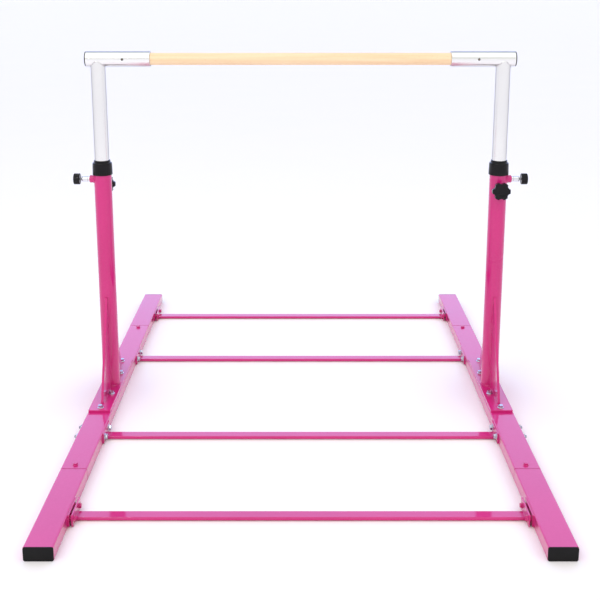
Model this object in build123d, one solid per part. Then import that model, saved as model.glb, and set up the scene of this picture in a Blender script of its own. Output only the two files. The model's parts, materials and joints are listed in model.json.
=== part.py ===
from build123d import *

import os
from math import cos, pi, sin

# Gymnastics kip bar: a wooden bar between two height-adjustable uprights on a floor frame.
# Units are millimetres.  X runs across the bar, Y along the floor rails, Z up.  The origin is
# on the floor, in the middle of the frame.  The left half is the right half turned half a
# turn about Z, so each lock pin points outwards and the two clamp knobs face opposite ways.

# ---- floor rails -----------------------------------------------------------------------------
RAIL_SPACING = 1360.0       # between the centrelines of the two rails
RAIL_WIDTH = 80.0
RAIL_HEIGHT = 40.0
RAIL_WALL = 2.0
RAIL_CORNER = 4.0
MIDDLE_LENGTH = 1200.0      # the rail section that carries the upright
EXTENSION_LENGTH = 400.0    # the bolted-on section at each end
SEAM_GAP = 2.5              # left open at each seam
CAP_THICKNESS = 4.0
CAP_PLUG_DEPTH = 18.0
CAP_PLUG_WALL = 3.0
CAP_CORNER = 6.0
CAP_EDGE_ROUND = 1.6

JOINER_REACH = 100.0        # how far a joiner goes into each of its two rail sections
JOINER_WALL = 3.0
JOINER_CLEARANCE = 0.4
JOINER_SCREW_INSET = 25.0   # from the seam, into the middle section

# ---- fasteners: thread diameter, width across flats, flange diameter, head height ------------
BOLT = {"thread": 10.0, "flats": 15.0, "flange": 21.0, "head": 9.0}
PAINTED_SCREW = {"thread": 8.0, "flats": 13.0, "flange": 17.0, "head": 6.5}
FLANGE_THICKNESS = 2.0
FLANGE_CHAMFER = 0.9
HEXAGON_CHAMFER = 0.8         # height of the turned-off corners
CUT_MARGIN = 1.0             # how far a cutting tool starts outside the surface
NUT_HEIGHT = 8.0
HOLE_CLEARANCE = 0.5
BOLT_PROTRUSION = 6.0

# ---- cross ties ------------------------------------------------------------------------------
TIE_WIDTH = 34.0
TIE_THICKNESS = 10.0
TIE_WALL = 1.5
TIE_CORNER = 2.0
TIE_FLOOR_GAP = 2.0
MIDDLE_TIE_Y = 322.0
TIE_PLATE_LENGTH = 98.0
TIE_PLATE_HEIGHT = RAIL_HEIGHT - 5
TIE_PLATE_THICKNESS = 4.0
TIE_PLATE_CORNER = 3.0
TIE_BOLT_SPREAD = 64.0
SPACER_LENGTH = 6.0
SPACER_DIAMETER = 16.0

# ---- upright, base plate and gussets ---------------------------------------------------------
BASE_PLATE_WIDTH = RAIL_WIDTH - 5
BASE_PLATE_LENGTH = 446.0
BASE_PLATE_THICKNESS = 8.0
BASE_PLATE_CORNER = 3.0
BASE_PLATE_EDGE_ROUND = 1.0
END_BOLT_INSET = 23.0
SIDE_BOLT_Y = 88.0
SIDE_BOLT_OFFSET = 16.0
UPRIGHT_WALL = 2.5
UPRIGHT_GAP = 3.5           # between the inner post and the upright's bore
UPRIGHT_TOP = 850.0
GUSSET_THICKNESS = 8.0
GUSSET_FOOT = 142.0
GUSSET_RISE = 334.0
GUSSET_TIP = 4.0            # height and width left at the gusset's two thin ends

# ---- telescoping post, sleeves and bar -------------------------------------------------------
POST_DIAMETER = 48.0
POST_WALL = 2.0
BAR_HEIGHT = 1211.0         # bar axis above the floor, as drawn
HEIGHT_TRAVEL = 300.0       # up and down from there
HOLE_PITCH = 75.0
LOWEST_HOLE_MARGIN = 122.0
BAR_DIAMETER = 42.0
BAR_FIT = 0.2
BAR_END_CHAMFER = 1.5
BAR_INSERTION = 135.0
SLEEVE_WALL = 3.8
SLEEVE_OVERHANG = 38.0      # outboard of the post axis
SLEEVE_REACH = 177.0        # inboard of the post axis
BAR_SCREW_FROM_POST = 86.0
BAR_SCREW_DIAMETER = 8.0
BAR_SCREW_LENGTH = 14.0
BAR_SCREW_RECESS = 0.6
BAR_SCREW_SOCKET = 4.0
PLUG_THICKNESS = 3.0
PLUG_DEPTH = 12.0
PLUG_RIM = 0.5              # how far the sleeve stands proud of its plug
PLUG_EDGE_ROUND = 1.5

# ---- guides ----------------------------------------------------------------------------------
GUIDE_CLEARANCE = 0.3       # sliding, per side
SEAT_CLEARANCE = 0.2        # pressed or glued, per side
COLLAR_BOTTOM = 816.0
COLLAR_TOP = 858.0
COLLAR_RING_TOP = 866.0
COLLAR_WALL = 4.0
COLLAR_DRAFT = 1.0
COLLAR_SHOULDER_ROUND = 2.5
COLLAR_RING_WALL = 4.0
COLLAR_RING_ROUND = 1.5
INSERT_BOTTOM = 812.0
LOWER_GUIDE_HEIGHT = 36.0
LOWER_GUIDE_FLOOR = 5.0
LOWER_GUIDE_LEAD = 1.5

# ---- spring lock pin -------------------------------------------------------------------------
PIN_HEIGHT = 800.0
PIN_DIAMETER = 10.0
PIN_NECK = 8.0
PIN_SHOULDER_DIAMETER = 13.6
PIN_SHOULDER_LENGTH = 4.0
PIN_NOSE_GAP = 0.8          # from the inner post
PIN_FIT = 0.15
PIN_NOSE_CHAMFER = 1.0
BOSS_DIAMETER = 26.0
BOSS_LENGTH = 14.0
BOSS_CHAMFER = 1.5
BARREL_THREAD = 18.0
BARREL_DIAMETER = 20.0
BARREL_LENGTH = 27.0        # outside the boss
BARREL_END_WALL = 5.0
BARREL_CHAMFER = 2.0
BARREL_CHAMBER = 14.6
SPRING_WIRE = 1.2
SPRING_TURNS = 6.0
SPRING_COIL_GAP = 0.4       # from the spring to the chamber wall
PIN_KNOB_DIAMETER = 38.0
PIN_KNOB_LENGTH = 21.0
PIN_KNOB_GAP = 7.0
PIN_KNOB_FLUTES = 16
PIN_KNOB_FLUTE_DEPTH = 1.4
PIN_KNOB_FLUTE_RADIUS = 2.3
PIN_KNOB_EDGE_ROUND = 2.5
PIN_KNOB_BORE_DEPTH = 12.6

# ---- clamp knob ------------------------------------------------------------------------------
KNOB_HEIGHT = 769.0
KNOB_DIAMETER = 62.0
KNOB_LOBES = 6
KNOB_NOTCH_RADIUS = 11.0
KNOB_NOTCH_DEPTH = 5.0
KNOB_LOBE_ROUND = 5.0
KNOB_THICKNESS = 18.0
KNOB_EDGE_ROUND = 4.0
KNOB_DISH_DEPTH = 3.0
KNOB_DISH_DIAMETER = 40.0
KNOB_HUB_DIAMETER = 26.0
KNOB_HUB_LENGTH = 9.0
KNOB_NUT_GAP = 2.0
STUD_DIAMETER = 10.0
STUD_FIT = 0.2
STUD_TIP_GAP = 0.6
STUD_ENGAGEMENT = 15.0
CLAMP_NUT_LENGTH = 9.0
CLAMP_NUT_FLATS = 17.0
STUD_CHAMFER = 1.0

# ---- worked-out places -----------------------------------------------------------------------
RAIL_X = RAIL_SPACING / 2
INNER_FACE_X = RAIL_X - RAIL_WIDTH / 2
SEAM_Y = MIDDLE_LENGTH / 2
RAIL_END_Y = SEAM_Y + EXTENSION_LENGTH
EXTENSION_TIE_Y = SEAM_Y + EXTENSION_LENGTH / 2
TIE_Z = TIE_FLOOR_GAP + TIE_THICKNESS / 2
TIE_PLATE_Z = TIE_FLOOR_GAP + TIE_PLATE_HEIGHT / 2
BASE_PLATE_TOP = RAIL_HEIGHT + BASE_PLATE_THICKNESS
END_BOLT_Y = BASE_PLATE_LENGTH / 2 - END_BOLT_INSET
POST_RADIUS = POST_DIAMETER / 2
UPRIGHT_BORE = POST_DIAMETER + 2 * UPRIGHT_GAP
UPRIGHT_DIAMETER = UPRIGHT_BORE + 2 * UPRIGHT_WALL
UPRIGHT_RADIUS = UPRIGHT_DIAMETER / 2
POST_BOTTOM = PIN_HEIGHT - HEIGHT_TRAVEL - LOWEST_HOLE_MARGIN
SLEEVE_BORE = BAR_DIAMETER + 2 * BAR_FIT
SLEEVE_DIAMETER = SLEEVE_BORE + 2 * SLEEVE_WALL
SLEEVE_INNER_X = RAIL_X - SLEEVE_REACH
SLEEVE_OUTER_X = RAIL_X + SLEEVE_OVERHANG
BAR_END_X = SLEEVE_INNER_X + BAR_INSERTION
BAR_SCREW_X = RAIL_X - BAR_SCREW_FROM_POST
PIN_FACE_X = RAIL_X + UPRIGHT_RADIUS
BOSS_END_X = PIN_FACE_X + BOSS_LENGTH
BARREL_END_X = BOSS_END_X + BARREL_LENGTH
PIN_NOSE_X = RAIL_X + POST_RADIUS + PIN_NOSE_GAP
CHAMBER_START_X = PIN_FACE_X + BOSS_LENGTH / 2 - PIN_SHOULDER_LENGTH
CHAMBER_END_X = BARREL_END_X - BARREL_END_WALL
SHOULDER_X = CHAMBER_START_X + PIN_FIT
PIN_KNOB_X = BARREL_END_X + PIN_KNOB_GAP
HUB_Y = -(UPRIGHT_RADIUS + CLAMP_NUT_LENGTH + KNOB_NUT_GAP)

UP = (0, 0, 1)
DOWN = (0, 0, -1)
OUTWARD = (1, 0, 0)          # on the right side
INWARD = (-1, 0, 0)
FORWARD = (0, -1, 0)
BACKWARD = (0, 1, 0)
BOTTOM = (Align.CENTER, Align.CENTER, Align.MIN)
TOP = (Align.CENTER, Align.CENTER, Align.MAX)
ENDS = {"front": -1, "rear": 1}


# ---- building blocks -------------------------------------------------------------------------
def rod(diameter, start, direction, length):
    """A round bar from a point, along a direction."""
    return extrude(Plane(origin=start, z_dir=direction) * Circle(diameter / 2), length)


def ring(outer, inner, start, direction, length):
    """A round tube from a point, along a direction."""
    return rod(outer, start, direction, length) - rod(inner, start, direction, length)


def rounded_bar(width, height, length, corner, plane=Plane.XZ):
    """A bar of rounded rectangular section, centred on the plane's origin."""
    return extrude(plane * RectangleRounded(width, height, corner), length / 2, both=True)


def box_tube(width, height, length, wall, corner, plane=Plane.XZ):
    """A rectangular tube, centred on the plane's origin."""
    inner_corner = max(corner - wall, 0.4)
    outer = rounded_bar(width, height, length, corner, plane)
    return outer - rounded_bar(width - 2 * wall, height - 2 * wall, length, inner_corner, plane)


def chamfered_hexagon(flats, height):
    """A hexagon standing on z=0 whose top corners are turned off."""
    prism = extrude(RegularPolygon(flats / 2, 6, major_radius=False), height)
    corner_radius = flats / 2 / cos(pi / 6)
    turned = Cylinder(corner_radius, height, align=BOTTOM)
    turned = chamfer(turned.edges().group_by(Axis.Z)[-1], HEXAGON_CHAMFER, corner_radius - flats / 2)
    return prism & turned


def flange_screw(size, length):
    """A hexagon flange screw, seated on z=0 with its shank below."""
    flange = Cylinder(size["flange"] / 2, FLANGE_THICKNESS, align=BOTTOM)
    flange = chamfer(flange.edges().group_by(Axis.Z)[-1], FLANGE_CHAMFER)
    shank = Cylinder(size["thread"] / 2, length, align=TOP)
    return flange + chamfered_hexagon(size["flats"], size["head"]) + shank


def flange_nut(size, height):
    """A hexagon flange nut, seated on z=0."""
    flange = Cylinder(size["flange"] / 2, FLANGE_THICKNESS, align=BOTTOM)
    flange = chamfer(flange.edges().group_by(Axis.Z)[-1], FLANGE_CHAMFER)
    body = flange + chamfered_hexagon(size["flats"], height)
    return body - Cylinder(size["thread"] / 2, height, align=BOTTOM)


def plain_nut(size, height):
    """A hexagon weld nut, seated on z=0."""
    hexagon = chamfered_hexagon(size["flats"], height)
    return hexagon - Cylinder(size["thread"] / 2, height, align=BOTTOM)


def placed(shape, origin, direction):
    """The shape moved so that its own Z axis starts at origin and points along direction."""
    return Plane(origin=origin, z_dir=direction).location * shape


def turned_half(shape):
    """The same piece on the left: half a turn about Z."""
    return Rot(0, 0, 180) * shape


def upright_core():
    """The right upright's outside as a solid, to cut the pieces that are welded to it."""
    return rod(UPRIGHT_DIAMETER, (RAIL_X, 0, BASE_PLATE_TOP), UP, UPRIGHT_TOP - BASE_PLATE_TOP)


def hole_size(fastener):
    """Clearance hole for a fastener."""
    return fastener["thread"] + 2 * HOLE_CLEARANCE


def both_sides(make):
    """Left and right copies of a right-hand piece."""
    right = make()
    return {"right": right, "left": turned_half(right)}


# ---- floor rails -----------------------------------------------------------------------------
def tie_bolt_places(tie_y):
    """Y of the two bolts of a tie's end plate."""
    return [tie_y - TIE_BOLT_SPREAD / 2, tie_y + TIE_BOLT_SPREAD / 2]


def base_plate_bolt_places():
    """X and Y of the bolts that hold the right base plate down."""
    side_x = RAIL_X - SIDE_BOLT_OFFSET
    places = []
    for sign in ENDS.values():
        places.append((RAIL_X, sign * END_BOLT_Y))
        places.append((side_x, sign * SIDE_BOLT_Y))
    return places


def middle_rail():
    rail = Pos(RAIL_X, 0, RAIL_HEIGHT / 2) * box_tube(
        RAIL_WIDTH, RAIL_HEIGHT, MIDDLE_LENGTH - 2 * SEAM_GAP, RAIL_WALL, RAIL_CORNER
    )
    bolt_hole = hole_size(BOLT)
    under_top = RAIL_HEIGHT - 2 * RAIL_WALL
    across = RAIL_WIDTH + 2 * CUT_MARGIN
    for x, y in base_plate_bolt_places():
        rail -= rod(bolt_hole, (x, y, under_top), UP, 3 * RAIL_WALL)
    for sign in ENDS.values():
        for y in tie_bolt_places(sign * MIDDLE_TIE_Y):
            rail -= rod(bolt_hole, (INNER_FACE_X - CUT_MARGIN, y, TIE_PLATE_Z), OUTWARD, across)
        seam_screw = (RAIL_X, sign * (SEAM_Y - JOINER_SCREW_INSET), under_top)
        rail -= rod(hole_size(PAINTED_SCREW), seam_screw, UP, 3 * RAIL_WALL)
    return rail


def extension_rail(sign):
    centre_y = sign * (SEAM_Y + EXTENSION_LENGTH / 2)
    rail = Pos(RAIL_X, centre_y, RAIL_HEIGHT / 2) * box_tube(
        RAIL_WIDTH, RAIL_HEIGHT, EXTENSION_LENGTH, RAIL_WALL, RAIL_CORNER
    )
    hole = hole_size(PAINTED_SCREW)
    for y in tie_bolt_places(sign * EXTENSION_TIE_Y):
        rail -= rod(hole, (INNER_FACE_X - CUT_MARGIN, y, TIE_PLATE_Z), OUTWARD, 3 * RAIL_WALL)
    return rail


def joiner(sign):
    """The inner sleeve that bridges a seam."""
    gap = RAIL_WALL + JOINER_CLEARANCE
    tube = Pos(RAIL_X, sign * SEAM_Y, RAIL_HEIGHT / 2) * box_tube(
        RAIL_WIDTH - 2 * gap,
        RAIL_HEIGHT - 2 * gap,
        2 * JOINER_REACH,
        JOINER_WALL,
        RAIL_CORNER - RAIL_WALL,
    )
    screw_y = sign * (SEAM_Y - JOINER_SCREW_INSET)
    middle = (RAIL_X, screw_y, RAIL_HEIGHT / 2)
    return tube - rod(hole_size(PAINTED_SCREW), middle, UP, RAIL_HEIGHT / 2)


def end_cap(sign):
    """A moulded cap whose hollow plug is pushed into the rail."""
    face_y = sign * (RAIL_END_Y + CAP_THICKNESS / 2)
    cover = Pos(RAIL_X, face_y, RAIL_HEIGHT / 2) * rounded_bar(
        RAIL_WIDTH, RAIL_HEIGHT, CAP_THICKNESS, CAP_CORNER
    )
    outside = cover.faces().sort_by(Axis.Y)[0 if sign < 0 else -1]
    cover = fillet(outside.edges(), CAP_EDGE_ROUND)
    plug_gap = RAIL_WALL + SEAT_CLEARANCE
    plug = Pos(RAIL_X, sign * (RAIL_END_Y - CAP_PLUG_DEPTH / 2), RAIL_HEIGHT / 2) * box_tube(
        RAIL_WIDTH - 2 * plug_gap,
        RAIL_HEIGHT - 2 * plug_gap,
        CAP_PLUG_DEPTH,
        CAP_PLUG_WALL,
        RAIL_CORNER - RAIL_WALL,
    )
    return cover + plug


def joiner_screw(sign):
    grip = RAIL_WALL + JOINER_CLEARANCE + JOINER_WALL + NUT_HEIGHT
    place = (RAIL_X, sign * (SEAM_Y - JOINER_SCREW_INSET), RAIL_HEIGHT)
    return placed(flange_screw(PAINTED_SCREW, grip), place, UP)


def joiner_nut(sign):
    under_joiner = RAIL_HEIGHT - RAIL_WALL - JOINER_CLEARANCE - JOINER_WALL
    place = (RAIL_X, sign * (SEAM_Y - JOINER_SCREW_INSET), under_joiner)
    return placed(plain_nut(PAINTED_SCREW, NUT_HEIGHT), place, DOWN)


# ---- cross ties ------------------------------------------------------------------------------
def tie_plate_face(extension):
    """X of the end plate's rail side, on the right."""
    bracket_stack = TIE_PLATE_THICKNESS + SPACER_LENGTH
    return INNER_FACE_X - (bracket_stack if extension else 0)


def tie(tie_y, extension):
    length = 2 * (tie_plate_face(extension) - TIE_PLATE_THICKNESS)
    section = Plane(origin=(0, tie_y, TIE_Z), x_dir=(0, 1, 0), z_dir=(1, 0, 0))
    return box_tube(TIE_WIDTH, TIE_THICKNESS, length, TIE_WALL, TIE_CORNER, section)


def plate_on_rail(face_x, tie_y, hole):
    """A drilled plate standing along the rail, its rail side at face_x."""
    plate = Pos(face_x - TIE_PLATE_THICKNESS / 2, tie_y, TIE_PLATE_Z) * Box(
        TIE_PLATE_THICKNESS, TIE_PLATE_LENGTH, TIE_PLATE_HEIGHT
    )
    plate = fillet(plate.edges().filter_by(Axis.X), TIE_PLATE_CORNER)
    hole_start = face_x - TIE_PLATE_THICKNESS - CUT_MARGIN
    through = TIE_PLATE_THICKNESS + 2 * CUT_MARGIN
    for y in tie_bolt_places(tie_y):
        plate -= rod(hole, (hole_start, y, TIE_PLATE_Z), OUTWARD, through)
    return plate


def end_plate(tie_y, extension):
    size = PAINTED_SCREW if extension else BOLT
    return plate_on_rail(tie_plate_face(extension), tie_y, hole_size(size))


def middle_tie_bolt_places():
    """Y of all four bolts through the right middle rail."""
    return [y for sign in ENDS.values() for y in tie_bolt_places(sign * MIDDLE_TIE_Y)]


def middle_tie_bolts():
    seat_x = tie_plate_face(False) - TIE_PLATE_THICKNESS
    length = TIE_PLATE_THICKNESS + RAIL_WIDTH + NUT_HEIGHT + BOLT_PROTRUSION
    bolt = flange_screw(BOLT, length)
    return [placed(bolt, (seat_x, y, TIE_PLATE_Z), INWARD) for y in middle_tie_bolt_places()]


def middle_tie_nuts():
    nut = flange_nut(BOLT, NUT_HEIGHT)
    outer_face_x = RAIL_X + RAIL_WIDTH / 2
    return [placed(nut, (outer_face_x, y, TIE_PLATE_Z), OUTWARD) for y in middle_tie_bolt_places()]


def extension_hardware():
    """Brackets, spacers, screws and weld nuts of the right ends of the extension ties."""
    brackets, spacers, screws, nuts = [], [], [], []
    hole = hole_size(PAINTED_SCREW)
    seat_x = tie_plate_face(True) - TIE_PLATE_THICKNESS
    bracket_x = INNER_FACE_X - TIE_PLATE_THICKNESS
    length = INNER_FACE_X - seat_x + RAIL_WALL + NUT_HEIGHT
    screw = flange_screw(PAINTED_SCREW, length)
    nut = plain_nut(PAINTED_SCREW, NUT_HEIGHT)
    for sign in ENDS.values():
        brackets.append(plate_on_rail(INNER_FACE_X, sign * EXTENSION_TIE_Y, hole))
        for y in tie_bolt_places(sign * EXTENSION_TIE_Y):
            behind = (bracket_x, y, TIE_PLATE_Z)
            spacers.append(ring(SPACER_DIAMETER, hole, behind, INWARD, SPACER_LENGTH))
            screws.append(placed(screw, (seat_x, y, TIE_PLATE_Z), INWARD))
            nuts.append(placed(nut, (INNER_FACE_X + RAIL_WALL, y, TIE_PLATE_Z), OUTWARD))
    return brackets, spacers, screws, nuts


# ---- base plate, upright and gussets ---------------------------------------------------------
def base_plate():
    plate = Pos(RAIL_X, 0, RAIL_HEIGHT + BASE_PLATE_THICKNESS / 2) * Box(
        BASE_PLATE_WIDTH, BASE_PLATE_LENGTH, BASE_PLATE_THICKNESS
    )
    plate = fillet(plate.edges().filter_by(Axis.Z), BASE_PLATE_CORNER)
    plate = fillet(plate.faces().sort_by(Axis.Z)[-1].edges(), BASE_PLATE_EDGE_ROUND)
    through = BASE_PLATE_THICKNESS + 2 * CUT_MARGIN
    for x, y in base_plate_bolt_places():
        plate -= rod(hole_size(BOLT), (x, y, RAIL_HEIGHT - CUT_MARGIN), UP, through)
    return plate


def base_plate_bolts():
    bolt = flange_screw(BOLT, BASE_PLATE_THICKNESS + RAIL_WALL + NUT_HEIGHT)
    return [placed(bolt, (x, y, BASE_PLATE_TOP), UP) for x, y in base_plate_bolt_places()]


def base_plate_nuts():
    nut = plain_nut(BOLT, NUT_HEIGHT)
    under_top = RAIL_HEIGHT - RAIL_WALL
    return [placed(nut, (x, y, under_top), DOWN) for x, y in base_plate_bolt_places()]


def upright():
    """Round tube with a hole for the lock pin on its outer side and one for the clamp stud."""
    height = UPRIGHT_TOP - BASE_PLATE_TOP
    tube = upright_core() - rod(UPRIGHT_BORE, (RAIL_X, 0, BASE_PLATE_TOP), UP, height)
    pin_hole = PIN_DIAMETER + 2 * HOLE_CLEARANCE
    stud_hole = STUD_DIAMETER + 2 * HOLE_CLEARANCE
    tube -= rod(pin_hole, (RAIL_X, 0, PIN_HEIGHT), OUTWARD, UPRIGHT_DIAMETER)
    return tube - rod(stud_hole, (RAIL_X, 0, KNOB_HEIGHT), FORWARD, UPRIGHT_DIAMETER)


def gusset(sign):
    """A triangular web plate standing on the base plate, shaped to the upright's surface."""
    toe = UPRIGHT_RADIUS + GUSSET_FOOT
    peak = BASE_PLATE_TOP + GUSSET_RISE
    outline = Polyline(
        (UPRIGHT_RADIUS - GUSSET_TIP, BASE_PLATE_TOP),
        (toe, BASE_PLATE_TOP),
        (toe, BASE_PLATE_TOP + GUSSET_TIP),
        (UPRIGHT_RADIUS + GUSSET_TIP, peak),
        (UPRIGHT_RADIUS - GUSSET_TIP, peak),
        close=True,
    )
    side_view = Plane(origin=(RAIL_X, 0, 0), x_dir=(0, sign, 0), z_dir=(sign, 0, 0))
    web = extrude(side_view * make_face(outline), GUSSET_THICKNESS / 2, both=True)
    return web - upright_core()


# ---- guides ----------------------------------------------------------------------------------
def collar():
    """Moulded guide on top of the upright: a drafted skirt, a ring, and an insert in the tube."""
    skirt_radius = UPRIGHT_RADIUS + COLLAR_WALL
    skirt_height = COLLAR_TOP - COLLAR_BOTTOM
    body = Cone(skirt_radius, skirt_radius - COLLAR_DRAFT, skirt_height, align=BOTTOM)
    body = fillet(body.edges().filter_by(GeomType.CIRCLE).group_by(Axis.Z)[-1], COLLAR_SHOULDER_ROUND)
    ring_height = COLLAR_RING_TOP - COLLAR_TOP
    neck = Cylinder(POST_RADIUS + COLLAR_RING_WALL, ring_height, align=BOTTOM)
    neck = fillet(neck.edges().group_by(Axis.Z)[-1], COLLAR_RING_ROUND)
    body += Pos(0, 0, skirt_height) * neck
    body = Pos(0, 0, COLLAR_BOTTOM) * body
    pocket = UPRIGHT_DIAMETER + 2 * SEAT_CLEARANCE
    body -= rod(pocket, (0, 0, COLLAR_BOTTOM), UP, UPRIGHT_TOP - COLLAR_BOTTOM)
    insert = UPRIGHT_BORE - 2 * SEAT_CLEARANCE
    body += rod(insert, (0, 0, INSERT_BOTTOM), UP, UPRIGHT_TOP - INSERT_BOTTOM)
    bore = POST_DIAMETER + 2 * GUIDE_CLEARANCE
    body -= rod(bore, (0, 0, INSERT_BOTTOM), UP, COLLAR_RING_TOP - INSERT_BOTTOM)
    return Pos(RAIL_X, 0, 0) * body


def lower_guide():
    """Moulded foot on the bottom of the inner post, sliding inside the upright."""
    bottom = POST_BOTTOM - LOWER_GUIDE_FLOOR
    guide = UPRIGHT_BORE - 2 * GUIDE_CLEARANCE
    block = rod(guide, (RAIL_X, 0, bottom), UP, LOWER_GUIDE_HEIGHT)
    block = chamfer(block.edges().group_by(Axis.Z)[0], LOWER_GUIDE_LEAD)
    return block - rod(POST_DIAMETER, (RAIL_X, 0, POST_BOTTOM), UP, LOWER_GUIDE_HEIGHT)


# ---- inner post, sleeve and bar --------------------------------------------------------------
def inner_post():
    """Round post with a row of lock holes on its outboard side, cut to fit under the sleeve."""
    start = (RAIL_X, 0, POST_BOTTOM)
    post = ring(POST_DIAMETER, POST_DIAMETER - 2 * POST_WALL, start, UP, BAR_HEIGHT - POST_BOTTOM)
    post -= rod(SLEEVE_DIAMETER, (0, 0, BAR_HEIGHT), OUTWARD, SLEEVE_OUTER_X + POST_RADIUS)
    lock_hole = PIN_DIAMETER + 2 * HOLE_CLEARANCE
    steps = int(HEIGHT_TRAVEL // HOLE_PITCH)
    for step in range(-steps, steps + 1):
        hole_z = PIN_HEIGHT + step * HOLE_PITCH
        post -= rod(lock_hole, (RAIL_X, 0, hole_z), OUTWARD, POST_DIAMETER)
    return post


def sleeve():
    start = (SLEEVE_INNER_X, 0, BAR_HEIGHT)
    length = SLEEVE_OUTER_X - SLEEVE_INNER_X
    tube = ring(SLEEVE_DIAMETER, SLEEVE_BORE, start, OUTWARD, length)
    screw_axis = (BAR_SCREW_X, 0, BAR_HEIGHT)
    return tube - rod(BAR_SCREW_DIAMETER, screw_axis, FORWARD, SLEEVE_DIAMETER)


def sleeve_plug():
    """A cap for the sleeve's open outer end, with a hollow stem."""
    face = (SLEEVE_OUTER_X, 0, BAR_HEIGHT)
    cover = rod(SLEEVE_DIAMETER - 2 * PLUG_RIM, face, OUTWARD, PLUG_THICKNESS)
    cover = fillet(cover.edges().sort_by(Axis.X)[-1], PLUG_EDGE_ROUND)
    stem_outer = SLEEVE_BORE - 2 * SEAT_CLEARANCE
    stem_inner = stem_outer - 2 * PLUG_THICKNESS
    stem_start = (SLEEVE_OUTER_X - PLUG_DEPTH, 0, BAR_HEIGHT)
    return cover + ring(stem_outer, stem_inner, stem_start, OUTWARD, PLUG_DEPTH)


def bar_screw():
    """Grub screw from the front, through the sleeve into the wood, with a hexagon socket."""
    face = (BAR_SCREW_X, -(SLEEVE_DIAMETER / 2 - BAR_SCREW_RECESS), BAR_HEIGHT)
    screw = rod(BAR_SCREW_DIAMETER, face, BACKWARD, BAR_SCREW_LENGTH)
    hexagon = RegularPolygon(BAR_SCREW_SOCKET / 2, 6, major_radius=False)
    return screw - placed(extrude(hexagon, BAR_SCREW_SOCKET), face, BACKWARD)


def wooden_bar():
    bar = rod(BAR_DIAMETER, (-BAR_END_X, 0, BAR_HEIGHT), OUTWARD, 2 * BAR_END_X)
    bar = chamfer(bar.edges().filter_by(GeomType.CIRCLE), BAR_END_CHAMFER)
    depth = BAR_SCREW_LENGTH + CUT_MARGIN
    for sign in (-1, 1):
        mouth = (sign * BAR_SCREW_X, -SLEEVE_DIAMETER / 2, BAR_HEIGHT)
        bar -= rod(BAR_SCREW_DIAMETER, mouth, BACKWARD, depth)
    return bar


# ---- spring lock pin -------------------------------------------------------------------------
def pin_axis(x):
    """A point on the lock pin's axis."""
    return (x, 0, PIN_HEIGHT)


def pin_boss():
    """Threaded boss on the upright's outer side, its foot shaped to the tube."""
    boss = rod(BOSS_DIAMETER, pin_axis(RAIL_X), OUTWARD, UPRIGHT_RADIUS + BOSS_LENGTH)
    boss = chamfer(boss.edges().filter_by(GeomType.CIRCLE).sort_by(Axis.X)[-1], BOSS_CHAMFER)
    bore = rod(BARREL_THREAD, pin_axis(RAIL_X), OUTWARD, UPRIGHT_RADIUS + BOSS_LENGTH)
    return boss - bore - upright_core()


def pin_barrel():
    """Chromed barrel screwed into the boss, holding the spring chamber."""
    body = rod(BARREL_DIAMETER, pin_axis(BOSS_END_X), OUTWARD, BARREL_LENGTH)
    body = chamfer(body.edges().filter_by(GeomType.CIRCLE).sort_by(Axis.X)[-1], BARREL_CHAMFER)
    body += rod(BARREL_THREAD, pin_axis(PIN_FACE_X), OUTWARD, BOSS_LENGTH)
    nose_bore = PIN_DIAMETER + 2 * PIN_FIT
    body -= rod(nose_bore, pin_axis(PIN_FACE_X), OUTWARD, BOSS_LENGTH)
    chamber_length = CHAMBER_END_X - CHAMBER_START_X
    body -= rod(BARREL_CHAMBER, pin_axis(CHAMBER_START_X), OUTWARD, chamber_length)
    return body - rod(PIN_NECK + 2 * PIN_FIT, pin_axis(CHAMBER_END_X), OUTWARD, BARREL_END_WALL)


def pin_plunger():
    """Nose, spring shoulder and neck, turned from one bar."""
    nose = rod(PIN_DIAMETER, pin_axis(PIN_NOSE_X), OUTWARD, SHOULDER_X - PIN_NOSE_X)
    nose = chamfer(nose.edges().filter_by(GeomType.CIRCLE).sort_by(Axis.X)[0], PIN_NOSE_CHAMFER)
    shoulder = rod(PIN_SHOULDER_DIAMETER, pin_axis(SHOULDER_X), OUTWARD, PIN_SHOULDER_LENGTH)
    neck_start = SHOULDER_X + PIN_SHOULDER_LENGTH
    neck_end = PIN_KNOB_X + PIN_KNOB_BORE_DEPTH
    return nose + shoulder + rod(PIN_NECK, pin_axis(neck_start), OUTWARD, neck_end - neck_start)


def pin_spring():
    """Coil spring between the plunger's shoulder and the barrel's end wall."""
    start = SHOULDER_X + PIN_SHOULDER_LENGTH + SPRING_WIRE / 2
    length = CHAMBER_END_X - SPRING_WIRE / 2 - start
    coil_radius = BARREL_CHAMBER / 2 - SPRING_COIL_GAP - SPRING_WIRE / 2
    path = Helix(length / SPRING_TURNS, length, coil_radius)
    section = Plane(origin=path @ 0, z_dir=path % 0) * Circle(SPRING_WIRE / 2)
    return placed(sweep(section, path, is_frenet=True), pin_axis(start), OUTWARD)


def pin_knob():
    """Fluted pull knob."""
    knob = Cylinder(PIN_KNOB_DIAMETER / 2, PIN_KNOB_LENGTH, align=BOTTOM)
    knob = fillet(knob.edges().filter_by(GeomType.CIRCLE), PIN_KNOB_EDGE_ROUND)
    flute = Cylinder(PIN_KNOB_FLUTE_RADIUS, PIN_KNOB_LENGTH, align=BOTTOM)
    reach = PIN_KNOB_DIAMETER / 2 + PIN_KNOB_FLUTE_RADIUS - PIN_KNOB_FLUTE_DEPTH
    for index in range(PIN_KNOB_FLUTES):
        angle = 2 * pi * index / PIN_KNOB_FLUTES
        knob -= Pos(reach * cos(angle), reach * sin(angle), 0) * flute
    knob -= Cylinder(PIN_NECK / 2, PIN_KNOB_BORE_DEPTH, align=BOTTOM)
    return placed(knob, pin_axis(PIN_KNOB_X), OUTWARD)


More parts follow.
